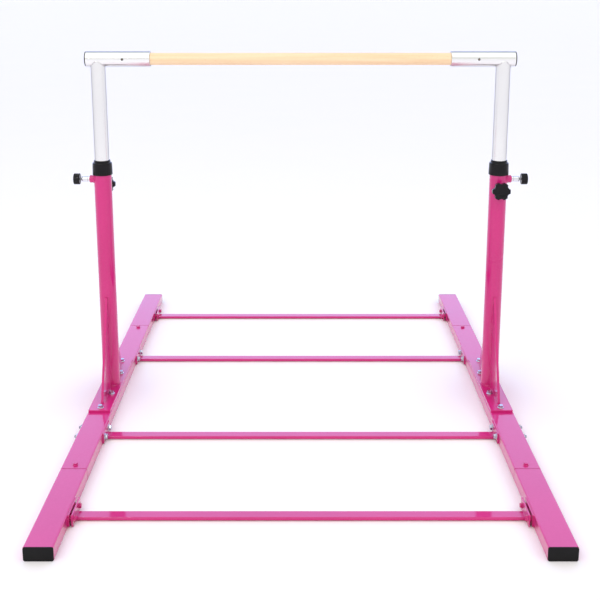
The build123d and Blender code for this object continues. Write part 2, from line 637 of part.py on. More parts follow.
# ---- clamp knob ------------------------------------------------------------------------------
def clamp_nut():
    """Long nut welded on the upright for the clamp knob's stud, its foot shaped to the tube."""
    nut = chamfered_hexagon(CLAMP_NUT_FLATS, UPRIGHT_RADIUS + CLAMP_NUT_LENGTH)
    nut -= Cylinder(STUD_DIAMETER / 2 + STUD_FIT, UPRIGHT_RADIUS + CLAMP_NUT_LENGTH, align=BOTTOM)
    return placed(nut, (RAIL_X, 0, KNOB_HEIGHT), FORWARD) - upright_core()


def star_knob():
    """Six-lobed clamp knob with a dished face."""
    outline = Circle(KNOB_DIAMETER / 2)
    notch_centre = KNOB_DIAMETER / 2 + KNOB_NOTCH_RADIUS - KNOB_NOTCH_DEPTH
    for index in range(KNOB_LOBES):
        angle = (2 * index + 1) * pi / KNOB_LOBES
        place = Pos(notch_centre * cos(angle), notch_centre * sin(angle))
        outline -= place * Circle(KNOB_NOTCH_RADIUS)
    outline = fillet(outline.vertices(), KNOB_LOBE_ROUND)
    body = Pos(0, 0, KNOB_HUB_LENGTH) * extrude(outline, KNOB_THICKNESS)
    body = fillet(body.faces().sort_by(Axis.Z)[-1].edges(), KNOB_EDGE_ROUND)
    dish_radius = ((KNOB_DISH_DIAMETER / 2) ** 2 + KNOB_DISH_DEPTH**2) / (2 * KNOB_DISH_DEPTH)
    face_z = KNOB_HUB_LENGTH + KNOB_THICKNESS
    body -= Pos(0, 0, face_z + dish_radius - KNOB_DISH_DEPTH) * Sphere(dish_radius)
    body += Cylinder(KNOB_HUB_DIAMETER / 2, KNOB_HUB_LENGTH, align=BOTTOM)
    body -= Cylinder(STUD_DIAMETER / 2, STUD_ENGAGEMENT, align=BOTTOM)
    return placed(body, (RAIL_X, HUB_Y, KNOB_HEIGHT), FORWARD)


def clamp_stud():
    tip_y = -(POST_RADIUS + STUD_TIP_GAP)
    length = tip_y - HUB_Y + STUD_ENGAGEMENT
    stud = rod(STUD_DIAMETER, (RAIL_X, tip_y, KNOB_HEIGHT), FORWARD, length)
    return chamfer(stud.edges().filter_by(GeomType.CIRCLE).sort_by(Axis.Y)[-1], STUD_CHAMFER)


# ---- the assembly ----------------------------------------------------------------------------
def group(solids):
    """Separate identical solids that share one node."""
    return Compound(children=[solid for item in solids for solid in item.solids()])


def group_both(right_solids):
    """The right-hand solids and their left-hand copies, in one node."""
    return group(right_solids + [turned_half(item) for item in right_solids])


def build_parts():
    parts = {}

    def add_pair(name, make):
        for side, shape in both_sides(make).items():
            parts[f"{side}_{name}"] = shape

    add_pair("middle_rail", middle_rail)
    add_pair("base_plate", base_plate)
    add_pair("upright", upright)
    add_pair("guide_collar", collar)
    add_pair("lower_guide", lower_guide)
    add_pair("inner_post", inner_post)
    add_pair("pin_boss", pin_boss)
    add_pair("pin_barrel", pin_barrel)
    add_pair("pin_plunger", pin_plunger)
    add_pair("pin_spring", pin_spring)
    add_pair("pin_knob", pin_knob)
    add_pair("clamp_knob", star_knob)
    add_pair("clamp_stud", clamp_stud)

    for end, sign in ENDS.items():
        extension = extension_rail(sign)
        bridge = joiner(sign)
        parts[f"right_{end}_rail"] = extension
        parts[f"right_{end}_joiner"] = bridge
        opposite = "rear" if end == "front" else "front"
        parts[f"left_{opposite}_rail"] = turned_half(extension)
        parts[f"left_{opposite}_joiner"] = turned_half(bridge)
        parts[f"{end}_middle_tie"] = tie(sign * MIDDLE_TIE_Y, False)
        parts[f"{end}_extension_tie"] = tie(sign * EXTENSION_TIE_Y, True)

    add_pair("gussets", lambda: group([gusset(sign) for sign in ENDS.values()]))

    # The bar and its sleeves are mirrored, not turned, so both bar screws face the front.
    right_sleeve = sleeve()
    parts["right_bar_sleeve"] = right_sleeve
    parts["left_bar_sleeve"] = mirror(right_sleeve, Plane.YZ)
    parts["wooden_bar"] = wooden_bar()
    screw = bar_screw()
    parts["bar_screws"] = group([screw, mirror(screw, Plane.YZ)])
    parts["sleeve_plugs"] = group_both([sleeve_plug()])

    signs = list(ENDS.values())
    brackets, spacers, screws, nuts = extension_hardware()
    parts["rail_end_caps"] = group_both([end_cap(sign) for sign in signs])
    parts["joiner_screws"] = group_both([joiner_screw(sign) for sign in signs])
    parts["joiner_weld_nuts"] = group_both([joiner_nut(sign) for sign in signs])
    middle_plates = [end_plate(sign * MIDDLE_TIE_Y, False) for sign in signs]
    parts["middle_tie_end_plates"] = group_both(middle_plates)
    parts["middle_tie_bolts"] = group_both(middle_tie_bolts())
    parts["middle_tie_nuts"] = group_both(middle_tie_nuts())
    extension_plates = [end_plate(sign * EXTENSION_TIE_Y, True) for sign in signs]
    parts["extension_tie_end_plates"] = group_both(extension_plates)
    parts["extension_tie_brackets"] = group_both(brackets)
    parts["extension_tie_spacers"] = group_both(spacers)
    parts["extension_tie_screws"] = group_both(screws)
    parts["extension_tie_weld_nuts"] = group_both(nuts)
    parts["base_plate_bolts"] = group_both(base_plate_bolts())
    parts["base_plate_weld_nuts"] = group_both(base_plate_nuts())
    parts["clamp_weld_nuts"] = group_both([clamp_nut()])
    return parts


if __name__ == "__main__":
    os.makedirs("parts", exist_ok=True)
    for name, shape in build_parts().items():
        export_step(shape, f"parts/{name}.step")
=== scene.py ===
import json
import math

import bmesh
import bpy
from mathutils import Matrix, Vector

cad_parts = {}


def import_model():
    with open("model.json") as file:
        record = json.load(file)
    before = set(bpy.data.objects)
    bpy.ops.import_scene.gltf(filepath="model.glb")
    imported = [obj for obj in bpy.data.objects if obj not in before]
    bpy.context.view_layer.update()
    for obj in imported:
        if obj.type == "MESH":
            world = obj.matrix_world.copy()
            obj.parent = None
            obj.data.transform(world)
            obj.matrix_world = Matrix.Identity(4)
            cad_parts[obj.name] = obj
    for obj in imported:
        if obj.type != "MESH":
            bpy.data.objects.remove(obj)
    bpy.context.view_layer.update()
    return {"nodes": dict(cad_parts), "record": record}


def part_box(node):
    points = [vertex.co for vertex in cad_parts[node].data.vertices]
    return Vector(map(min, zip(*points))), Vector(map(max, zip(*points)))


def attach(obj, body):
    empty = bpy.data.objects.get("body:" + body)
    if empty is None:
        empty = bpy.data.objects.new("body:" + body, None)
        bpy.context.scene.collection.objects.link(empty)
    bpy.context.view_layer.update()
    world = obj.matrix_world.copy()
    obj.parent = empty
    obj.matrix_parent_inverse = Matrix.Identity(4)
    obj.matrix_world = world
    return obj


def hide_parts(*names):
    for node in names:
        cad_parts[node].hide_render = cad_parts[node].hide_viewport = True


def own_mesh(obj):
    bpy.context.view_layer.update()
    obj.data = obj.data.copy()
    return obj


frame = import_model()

SIDES = {"left": -1, "right": 1}


# ---- shader building -------------------------------------------------------------------------
def node(tree, kind, inputs=None, **settings):
    """A new shader node; each input is a value or another node's output socket."""
    made = tree.nodes.new(kind)
    for key, value in settings.items():
        setattr(made, key, value)
    for key, value in (inputs or {}).items():
        if isinstance(value, bpy.types.NodeSocket):
            tree.links.new(value, made.inputs[key])
        else:
            made.inputs[key].default_value = value
    return made


def start_material(name, **fixed):
    """A Principled material with its constant values on the shader's own sockets."""
    material = bpy.data.materials.new(name)
    material.use_nodes = True
    tree = material.node_tree
    shader = tree.nodes["Principled BSDF"]
    for key, value in fixed.items():
        shader.inputs[key.replace("_", " ")].default_value = value
    place = node(tree, "ShaderNodeTexCoord").outputs["Object"]
    return material, tree, shader, place


def noise(tree, place, scale, detail, stretch=(1, 1, 1)):
    """Noise from 0 to 1 over object space; scale is in features per metre."""
    spread = node(tree, "ShaderNodeVectorMath", {0: place, 1: stretch}, operation="MULTIPLY")
    made = node(
        tree,
        "ShaderNodeTexNoise",
        {"Vector": spread.outputs[0], "Scale": scale, "Detail": detail, "Roughness": 0.5},
    )
    return made.outputs["Fac"]


def remap(tree, value, low, high, from_low=0.3, from_high=0.7):
    """The value stretched from one range to another."""
    inputs = {"Value": value, "From Min": from_low, "From Max": from_high}
    inputs.update({"To Min": low, "To Max": high})
    return node(tree, "ShaderNodeMapRange", inputs).outputs["Result"]


def blend_colours(tree, factor, first, second):
    mixer = node(tree, "ShaderNodeMix", data_type="RGBA")
    values = {"Factor_Float": factor, "A_Color": first, "B_Color": second}
    for socket in mixer.inputs:
        if socket.identifier not in values:
            continue
        value = values[socket.identifier]
        if isinstance(value, bpy.types.NodeSocket):
            tree.links.new(value, socket)
        elif isinstance(value, tuple):
            socket.default_value = (*value, 1.0)
        else:
            socket.default_value = value
    return next(s for s in mixer.outputs if s.identifier == "Result_Color")


def bump(tree, height, depth, strength=1.0, under=None):
    """A bump of a real depth in metres, over an earlier normal if there is one."""
    inputs = {"Height": height, "Distance": depth, "Strength": strength}
    if under is not None:
        inputs["Normal"] = under
    return node(tree, "ShaderNodeBump", inputs).outputs["Normal"]


def rounded_edges(tree, radius):
    return node(tree, "ShaderNodeBevel", {"Radius": radius}, samples=4).outputs["Normal"]


# ---- materials -------------------------------------------------------------------------------
def pink_paint():
    """Gloss powder coat: deep pink under a clear gloss, with a fine orange peel."""
    material, tree, shader, place = start_material(
        "pink_paint",
        IOR=1.45,
        Specular_IOR_Level=0.18,
        Coat_Weight=1.0,
        Coat_Roughness=0.04,
        Coat_IOR=1.5,
    )
    shader.inputs["Specular Tint"].default_value = (0.80, 0.78, 1.0, 1.0)
    broad = remap(tree, noise(tree, place, 3.0, 4), 0.0, 1.0)
    fine = remap(tree, noise(tree, place, 140.0, 3), 0.0, 1.0)
    colour = blend_colours(tree, broad, (0.56, 0.010, 0.165), (0.63, 0.015, 0.190))
    colour = blend_colours(tree, remap(tree, fine, 0.0, 0.12, 0, 1), colour, (0.74, 0.04, 0.25))
    tree.links.new(colour, shader.inputs["Base Color"])
    tree.links.new(remap(tree, broad, 0.26, 0.36, 0, 1), shader.inputs["Roughness"])
    peel = noise(tree, place, 420.0, 2)
    normal = bump(tree, peel, 0.00003, 0.5, rounded_edges(tree, 0.0007))
    tree.links.new(normal, shader.inputs["Normal"])
    tree.links.new(normal, shader.inputs["Coat Normal"])
    return material


def silver_paint():
    """Satin silver coat with a very fine metallic flake."""
    material, tree, shader, place = start_material("silver_paint", Metallic=1.0)
    shader.inputs["Specular Tint"].default_value = (0.22, 0.22, 0.24, 1.0)
    flake = noise(tree, place, 2600.0, 2)
    cloud = noise(tree, place, 9.0, 4)
    glitter = remap(tree, flake, 0, 1)
    colour = blend_colours(tree, glitter, (0.845, 0.845, 0.815), (0.915, 0.915, 0.885))
    tree.links.new(colour, shader.inputs["Base Color"])
    tree.links.new(remap(tree, cloud, 0.17, 0.24), shader.inputs["Roughness"])
    tree.links.new(bump(tree, flake, 0.00001, 0.25), shader.inputs["Normal"])
    return material


def bar_wood():
    """Lacquered beech: long soft grain, short darker rays, and a thin satin lacquer."""
    material, tree, shader, place = start_material(
        "bar_wood", IOR=1.45, Coat_Weight=0.15, Coat_Roughness=0.2
    )
    warp = noise(tree, place, 6.0, 2, stretch=(0.25, 1, 1))
    offset = node(
        tree, "ShaderNodeVectorMath", {0: (0.0, 0.02, 0.02), "Scale": warp}, operation="SCALE"
    )
    bent = node(tree, "ShaderNodeVectorMath", {0: place, 1: offset.outputs[0]}, operation="ADD")
    years = noise(tree, bent.outputs[0], 130.0, 3, stretch=(0.02, 1, 1))
    fibre = noise(tree, place, 900.0, 3, stretch=(0.025, 1, 1))
    rays = noise(tree, place, 520.0, 1, stretch=(0.16, 1, 1))
    board = noise(tree, place, 11.0, 2, stretch=(0.15, 1, 1))
    colour = blend_colours(
        tree, remap(tree, years, 0, 1, 0.35, 0.65), (0.95, 0.73, 0.46), (0.90, 0.64, 0.38)
    )
    colour = blend_colours(tree, remap(tree, board, 0, 0.45), colour, (0.95, 0.75, 0.49))
    colour = blend_colours(tree, remap(tree, fibre, 0, 0.16, 0.45, 0.7), colour, (0.74, 0.46, 0.25))
    colour = blend_colours(tree, remap(tree, rays, 0, 0.35, 0.68, 0.75), colour, (0.55, 0.31, 0.16))
    tree.links.new(colour, shader.inputs["Base Color"])
    tree.links.new(remap(tree, fibre, 0.34, 0.46), shader.inputs["Roughness"])
    tree.links.new(bump(tree, fibre, 0.00003, 0.5), shader.inputs["Normal"])
    return material


def plastic(name, dark, light, roughness, grain, depth, coat):
    """Moulded black plastic with a moulded-in grain."""
    material, tree, shader, place = start_material(
        name, IOR=1.36, Specular_IOR_Level=0.22, Coat_IOR=1.5, Coat_Weight=coat, Coat_Roughness=0.08
    )
    cloud = remap(tree, noise(tree, place, 22.0, 4), 0.0, 1.0)
    skin = noise(tree, place, grain, 2)
    tree.links.new(blend_colours(tree, cloud, dark, light), shader.inputs["Base Color"])
    spread = remap(tree, cloud, roughness * 0.85, roughness * 1.2, 0, 1)
    tree.links.new(spread, shader.inputs["Roughness"])
    normal = bump(tree, skin, depth, 0.6, rounded_edges(tree, 0.0006))
    tree.links.new(normal, shader.inputs["Normal"])
    return material


def metal(name, dark, light, roughness, patch, scratch_depth):
    """Plated or bare steel: mottled tone, uneven gloss and fine handling marks."""
    material, tree, shader, place = start_material(name, Metallic=1.0)
    cells = node(
        tree, "ShaderNodeTexVoronoi", {"Vector": place, "Scale": patch, "Randomness": 1.0}
    ).outputs["Color"]
    tone = node(tree, "ShaderNodeSeparateColor", {"Color": cells}).outputs[0]
    cloud = noise(tree, place, patch * 0.4, 4)
    mottled = remap(tree, tone, 0.0, 0.6, 0, 1)
    colour = blend_colours(tree, mottled, dark, light)
    tree.links.new(colour, shader.inputs["Base Color"])
    tree.links.new(remap(tree, cloud, *roughness), shader.inputs["Roughness"])
    marks = noise(tree, place, 1500.0, 2, stretch=(1, 0.15, 1))
    normal = bump(tree, marks, scratch_depth, 0.4, rounded_edges(tree, 0.0005))
    tree.links.new(normal, shader.inputs["Normal"])
    return material


FINISHES = {
    "pink_paint": pink_paint(),
    "silver_paint": silver_paint(),
    "bar_wood": bar_wood(),
    "black_gloss_plastic": plastic(
        "black_gloss_plastic",
        dark=(0.003, 0.003, 0.0035),
        light=(0.006, 0.006, 0.007),
        roughness=0.2,
        grain=380,
        depth=0.00002,
        coat=0.2,
    ),
    "black_matte_plastic": plastic(
        "black_matte_plastic",
        dark=(0.006, 0.006, 0.0065),
        light=(0.011, 0.0105, 0.011),
        roughness=0.45,
        grain=700,
        depth=0.00006,
        coat=0.0,
    ),
    "chrome_plate": metal(
        "chrome_plate",
        dark=(0.72, 0.73, 0.75),
        light=(0.82, 0.83, 0.85),
        roughness=(0.05, 0.1),
        patch=90,
        scratch_depth=0.000004,
    ),
    "zinc_plate": metal(
        "zinc_plate",
        dark=(0.46, 0.50, 0.58),
        light=(0.74, 0.76, 0.80),
        roughness=(0.2, 0.36),
        patch=260,
        scratch_depth=0.00001,
    ),
    "plain_steel": metal(
        "plain_steel",
        dark=(0.30, 0.30, 0.31),
        light=(0.44, 0.44, 0.45),
        roughness=(0.28, 0.42),
        patch=120,
        scratch_depth=0.00001,
    ),
}
SLOT_OF = {part["node"]: part["material_slot"] for part in frame["record"]["subparts"]}
for name, thing in frame["nodes"].items():
    for index in range(len(thing.material_slots)):
        thing.material_slots[index].material = FINISHES[SLOT_OF[name]]

# The bar's grub screws are small dark dots in the photo, so their plain steel is blackened.
BLACK_STEEL = metal(
    "black_steel",
    dark=(0.020, 0.020, 0.022),
    light=(0.045, 0.045, 0.048),
    roughness=(0.3, 0.45),
    patch=240,
    scratch_depth=0.00001,
)
frame["nodes"]["bar_screws"].material_slots[0].material = BLACK_STEEL


# ---- mesh building ---------------------------------------------------------------------------
def turned(shape, rings, place, segments=96, closed=False):
    """Adds a turned form: each ring is (radius, height), or a function of the angle giving them."""
    loops = []
    for item in rings:
        loop = []
        for index in range(segments):
            angle = 2 * math.pi * index / segments
            radius, height = item(angle) if callable(item) else item
            point = Vector((radius * math.cos(angle), radius * math.sin(angle), height))
            loop.append(shape.verts.new(place @ point))
        loops.append(loop)
    pairs = list(zip(loops, loops[1:]))
    if closed:
        pairs.append((loops[-1], loops[0]))
    else:
        shape.faces.new(loops[0][::-1])
        shape.faces.new(loops[-1])
    for lower, upper in pairs:
        for index in range(segments):
            after = (index + 1) % segments
            shape.faces.new((lower[index], lower[after], upper[after], upper[index]))


def rounded(radius, height, corner, steps=5):
    """Ring list for a rounded outer edge that ends at a height."""
    rings = []
    for step in range(steps + 1):
        turn = math.pi / 2 * step / steps
        inset = corner * (1 - math.cos(turn))
        rings.append((radius - inset, height - corner * (1 - math.sin(turn))))
    return rings


def standing(place):
    """Stands a form at a place, its own Z up."""
    return Matrix.Translation(place)


def pointing(place, direction):
    """Sets a form at a place, its own Z along a direction."""
    turn = Vector((0, 0, 1)).rotation_difference(Vector(direction)).to_matrix().to_4x4()
    return Matrix.Translation(place) @ turn


def drilled(thing, holes):
    """Cuts round holes, each (start, direction, diameter, depth), through a piece."""
    for start, direction, diameter, depth in holes:
        shape = bmesh.new()
        turned(shape, [(diameter / 2, 0), (diameter / 2, depth)], pointing(start, direction), 32)
        mesh = bpy.data.meshes.new("drill")
        shape.to_mesh(mesh)
        shape.free()
        drill = bpy.data.objects.new("drill", mesh)
        bpy.context.collection.objects.link(drill)
        cut = thing.modifiers.new("hole", "BOOLEAN")
        cut.operation = "DIFFERENCE"
        cut.solver = "EXACT"
        cut.object = drill
        graph = bpy.context.evaluated_depsgraph_get()
        result = bpy.data.meshes.new_from_object(thing.evaluated_get(graph))
        thing.modifiers.clear()
        thing.data = result
        bpy.data.objects.remove(drill)


def finished(name, shape, slot, body, stands_for=(), holes=(), crease=32):
    """Makes a bmesh a piece of the object, with its finish, shading, body and CAD nodes."""
    bmesh.ops.recalc_face_normals(shape, faces=shape.faces)
    mesh = bpy.data.meshes.new(name)
    shape.to_mesh(mesh)
    shape.free()
    thing = bpy.data.objects.new(name, mesh)
    bpy.context.collection.objects.link(thing)
    drilled(thing, holes)
    mesh = thing.data
    mesh.name = name
    mesh.materials.clear()
    mesh.materials.append(FINISHES[slot])
    mesh.polygons.foreach_set("use_smooth", [True] * len(mesh.polygons))
    mesh.set_sharp_from_angle(angle=math.radians(crease))
    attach(thing, body)
    if stands_for:
        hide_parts(*stands_for)
    return thing


def middle(node):
    low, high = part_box(node)
    return (low + high) / 2


BEAD_SIDES = 10
RIPPLE_PITCH = 0.0031
OFF_AXIS = Vector((0.31, 0.17, 0.93))


def bead(shape, points, radius, closed=False):
    """Adds a weld bead along a path: a round fillet with the ripples of its overlapping pools."""
    count = len(points)
    loops = []
    travelled = 0.0
    for index, point in enumerate(points):
        before = points[index - 1] if index or closed else point
        after = points[(index + 1) % count] if index < count - 1 or closed else point
        along = (after - before).normalized()
        side = along.cross(OFF_AXIS).normalized()
        lift = along.cross(side)
        travelled += (point - before).length
        ripple = travelled / RIPPLE_PITCH
        swell = 1.0 + 0.10 * (1 - 2 * abs(ripple % 1.0 - 0.35)) + 0.05 * math.sin(travelled * 61.0)
        if not closed and index in (0, count - 1):
            swell *= 0.35
        loop = []
        for step in range(BEAD_SIDES):
            turn = 2 * math.pi * step / BEAD_SIDES
            offset = side * math.cos(turn) + lift * math.sin(turn)
            loop.append(shape.verts.new(point + offset * radius * swell))
        loops.append(loop)
    pairs = list(zip(loops, loops[1:]))
    if closed:
        pairs.append((loops[-1], loops[0]))
    else:
        shape.faces.new(loops[0][::-1])
        shape.faces.new(loops[-1])
    for lower, upper in pairs:
        for step in range(BEAD_SIDES):
            after = (step + 1) % BEAD_SIDES
            shape.faces.new((lower[step], lower[after], upper[after], upper[step]))


def line(start, end, spacing=0.0008):
    """Points along a straight run."""
    start, end = Vector(start), Vector(end)
    count = max(2, int((end - start).length / spacing))
    return [start.lerp(end, index / count) for index in range(count + 1)]


def loop_through(corners):
    """Points round a closed outline."""
    points = []
    for index, corner in enumerate(corners):
        points += line(corner, corners[(index + 1) % len(corners)])[:-1]
    return points


# ---- tubes, bar and guides -------------------------------------------------------------------
BAR_Z = middle("wooden_bar").z
BAR_RADIUS = (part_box("wooden_bar")[1].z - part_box("wooden_bar")[0].z) / 2
SLEEVE_RADIUS = (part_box("left_bar_sleeve")[1].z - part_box("left_bar_sleeve")[0].z) / 2
POST_RADIUS = (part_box("left_inner_post")[1].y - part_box("left_inner_post")[0].y) / 2
UPRIGHT_RADIUS = (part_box("left_upright")[1].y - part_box("left_upright")[0].y) / 2
PIN_Z = middle("left_pin_knob").z
KNOB_Z = middle("left_clamp_knob").z
PLATE_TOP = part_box("left_base_plate")[1].z

SLEEVE_WALL = 0.0038
POST_WALL = 0.002
UPRIGHT_WALL = 0.0025
LOCK_HOLE = 0.011
HOLE_PITCH = 0.075
HOLES_EACH_WAY = 4
BAR_SCREW = 0.008


def tube_rings(outer, inner, low, high, edge=0.0005):
    """Closed ring list of a tube with a small chamfer on each edge."""
    return [
        (inner, low + edge),
        (inner + edge, low),
        (outer - edge, low),
        (outer, low + edge),
        (outer, high - edge),
        (outer - edge, high),
        (inner + edge, high),
        (inner, high - edge),
    ]


def wooden_bar():
    low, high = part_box("wooden_bar")
    shape = bmesh.new()
    ends = 0.0015
    parts = 12
    rings = [(BAR_RADIUS - ends, low.x), (BAR_RADIUS, low.x + ends)]
    rings += [(BAR_RADIUS, low.x + (high.x - low.x) * step / parts) for step in range(1, parts)]
    rings += [(BAR_RADIUS, high.x - ends), (BAR_RADIUS - ends, high.x)]
    turned(shape, rings, pointing((0, 0, BAR_Z), (1, 0, 0)), 128)
    finished("turned_bar", shape, "bar_wood", "top_frame", ["wooden_bar"])


def sleeves():
    """Round sleeves with a small screw hole at the front."""
    bore = SLEEVE_RADIUS - SLEEVE_WALL
    for side, sign in SIDES.items():
        name = side + "_bar_sleeve"
        low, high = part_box(name)
        shape = bmesh.new()
        rings = tube_rings(SLEEVE_RADIUS, bore, low.x, high.x, 0.0008)
        turned(shape, rings, pointing((0, 0, BAR_Z), (1, 0, 0)), 128, closed=True)
        screw_x = sign * (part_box("bar_screws")[1].x - BAR_SCREW / 2)
        hole = ((screw_x, 0, BAR_Z), (0, -1, 0), BAR_SCREW, 0.05)
        finished(side + "_sleeve_tube", shape, "silver_paint", "top_frame", [name], [hole])


def posts():
    """Round inner posts with their row of lock holes, shaped to the sleeve at the top."""
    for side, sign in SIDES.items():
        node_name = side + "_inner_post"
        place = middle(node_name)
        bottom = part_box(node_name)[0].z
        inner = POST_RADIUS - POST_WALL

        def saddle(radius):
            """A ring that follows the sleeve, set 0.4 mm into it."""

            def ring(angle):
                across = radius * math.sin(angle)
                return radius, BAR_Z - math.sqrt((SLEEVE_RADIUS - 0.0004) ** 2 - across**2)

            return ring

        rings = [(inner, bottom), (POST_RADIUS, bottom), saddle(POST_RADIUS), saddle(inner)]
        shape = bmesh.new()
        turned(shape, rings, standing((place.x, 0, 0)), 128, closed=True)
        holes = []
        for step in range(-HOLES_EACH_WAY, HOLES_EACH_WAY + 1):
            start = (place.x, 0, PIN_Z + HOLE_PITCH * step)
            holes.append((start, (sign, 0, 0), LOCK_HOLE, 0.04))
        finished(side + "_post_tube", shape, "silver_paint", "top_frame", [node_name], holes)


def uprights():
    """Round uprights with the lock pin's hole outboard and the clamp stud's hole."""
    for side, sign in SIDES.items():
        node_name = side + "_upright"
        low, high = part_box(node_name)
        place = middle(node_name)
        shape = bmesh.new()
        rings = tube_rings(UPRIGHT_RADIUS, UPRIGHT_RADIUS - UPRIGHT_WALL, low.z, high.z)
        turned(shape, rings, standing((place.x, 0, 0)), 128, closed=True)
        holes = [
            ((place.x, 0, PIN_Z), (sign, 0, 0), LOCK_HOLE, 0.05),
            ((place.x, 0, KNOB_Z), (0, -sign, 0), LOCK_HOLE, 0.05),
        ]
        finished(side + "_upright_tube", shape, "pink_paint", "base", [node_name], holes)


COLLAR_GROOVES = 28


def collars():
    """Moulded collars: a drafted skirt with shallow upright grooves, a soft shoulder and a neck."""
    bore = POST_RADIUS + 0.0003
    for side in SIDES:
        node_name = side + "_guide_collar"
        low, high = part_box(node_name)
        place = middle(node_name)
        radius = (high.y - low.y) / 2
        skirt = low.z + 0.004
        top = high.z - 0.008
        neck = POST_RADIUS + 0.004
        spigot = UPRIGHT_RADIUS - UPRIGHT_WALL - 0.0002
        over = UPRIGHT_RADIUS + 0.0002
        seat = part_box(side + "_upright")[1].z + 0.0002

        def ribbed(height, depth):
            draft = 0.001 * (height - skirt) / (top - skirt)

            def ring(angle):
                groove = max(0.0, math.cos(COLLAR_GROOVES * angle)) ** 3
                return radius - draft - depth * groove, height

            return ring

        rings = [(bore, low.z), (spigot, low.z), (spigot, seat), (over, seat), (over, skirt)]
        rings += [(radius - 0.0008, skirt), ribbed(skirt + 0.0008, 0.0)]
        rings += [ribbed(skirt + 0.004, 0.0), ribbed(skirt + 0.0052, 0.0005)]
        rings += [ribbed(top - 0.0085, 0.0005), ribbed(top - 0.0073, 0.0)]
        rings += rounded(radius - 0.001, top, 0.0035, 7)
        rings += [(neck + 0.0008, top), (neck, top + 0.0008)]
        rings += rounded(neck, high.z, 0.0015, 5)
        rings += [(bore + 0.0006, high.z), (bore, high.z - 0.0006)]
        shape = bmesh.new()
        turned(shape, rings, standing((place.x, 0, 0)), 224, closed=True)
        finished(side + "_collar", shape, "black_gloss_plastic", "base", [node_name])


def sleeve_plugs():
    """Push-in plugs: a spigot in the sleeve under a rounded, slightly dished head."""
    shape = bmesh.new()
    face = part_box("sleeve_plugs")[1].x - 0.003
    bore = SLEEVE_RADIUS - SLEEVE_WALL - 0.0002
    for sign in SIDES.values():
        rings = [(bore - 0.003, -0.012), (bore, -0.012), (bore, -0.0003), (0.0244, 0.0)]
        rings += rounded(0.0245, 0.003, 0.0014, 5)
        rings += [(0.017, 0.003), (0.0166, 0.0026), (0.004, 0.0026)]
        turned(shape, rings, pointing((sign * face, 0, BAR_Z), (sign, 0, 0)), 96)
    finished("plugs", shape, "black_matte_plastic", "top_frame", ["sleeve_plugs"])


# ---- lock pins and knobs ---------------------------------------------------------------------
# Distances along a lock pin run outward from the upright's axis.
BARREL = {"start": 0.030, "end": 0.071, "wall": 0.066, "radius": 0.01, "bore": 0.0073}
PLUNGER = {"radius": 0.004, "tip": 0.0248, "collar": 0.03315, "collar_end": 0.03715, "end": 0.0906}
PULL = {"radius": 0.019, "corner": 0.0025, "flutes": 16, "flute_radius": 0.0023}
STAR = {"radius": 0.031, "tip": 0.036, "notch_radius": 0.011, "notch_depth": 0.005, "height": 0.027}
STAR_CORNER = 0.004
QUARTER = math.pi / 2


def barrel(side, axis):
    """A chromed barrel with two turned grooves; its bore holds the spring."""
    radius, bore = BARREL["radius"], BARREL["bore"]
    start, end, wall = BARREL["start"], BARREL["end"], BARREL["wall"]
    rings = [(0.00515, start), (0.009, start), (0.009, 0.0441), (0.0094, 0.0441)]
    rings.append((radius, 0.0447))
    for groove in (0.0495, 0.0665):
        rings += [(radius, groove), (0.0093, groove + 0.0007), (radius, groove + 0.0014)]
    rings += [(radius, 0.0690), (0.0082, end), (0.00415, end), (0.00415, wall)]
    rings += [(bore, wall), (bore, 0.033), (0.00515, 0.033)]
    shape = bmesh.new()
    turned(shape, rings, axis, 64, closed=True)
    finished(side + "_barrel", shape, "chrome_plate", "base", [side + "_pin_barrel"])


def plunger(side, axis):
    """The pin itself: a chamfered nose, a collar for the spring and a thin stem to the knob."""
    stem, nose, collar_radius = PLUNGER["radius"], 0.005, 0.0068
    rings = [(stem, PLUNGER["tip"]), (nose, PLUNGER["tip"] + 0.001), (nose, PLUNGER["collar"])]
    rings += [(collar_radius, PLUNGER["collar"]), (collar_radius, PLUNGER["collar_end"])]
    rings += [(stem, PLUNGER["collar_end"]), (stem, PLUNGER["end"])]
    shape = bmesh.new()
    turned(shape, rings, axis, 48)
    body = side + "_lock_pin"
    finished(side + "_plunger", shape, "plain_steel", body, [side + "_pin_plunger"])


def pull_knob(side, axis):
    low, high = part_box(side + "_pin_knob")
    inner = min(abs(low.x), abs(high.x)) - abs(middle(side + "_upright").x)
    shape = bmesh.new()
    turned(shape, knob_rings(inner, high.x - low.x), axis, 192)
    name, body = side + "_pull_knob", side + "_lock_pin"
    finished(name, shape, "black_gloss_plastic", body, [side + "_pin_knob"])


def lock_pins():
    for side, sign in SIDES.items():
        axis = pointing((sign * abs(middle(side + "_upright").x), 0, PIN_Z), (sign, 0, 0))
        barrel(side, axis)
        plunger(side, axis)
        pull_knob(side, axis)


def springs():
    """Coil springs from the CAD mesh, each on a mesh of its own and set on the base; the real
    springs shorten towards the barrel's end wall as the pin is drawn.
    """
    for side, sign in SIDES.items():
        name = side + "_pin_spring"
        shape = bmesh.new()
        shape.from_mesh(frame["nodes"][name].data)
        spring = finished(side + "_spring", shape, "plain_steel", "base", [name])
        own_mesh(spring)


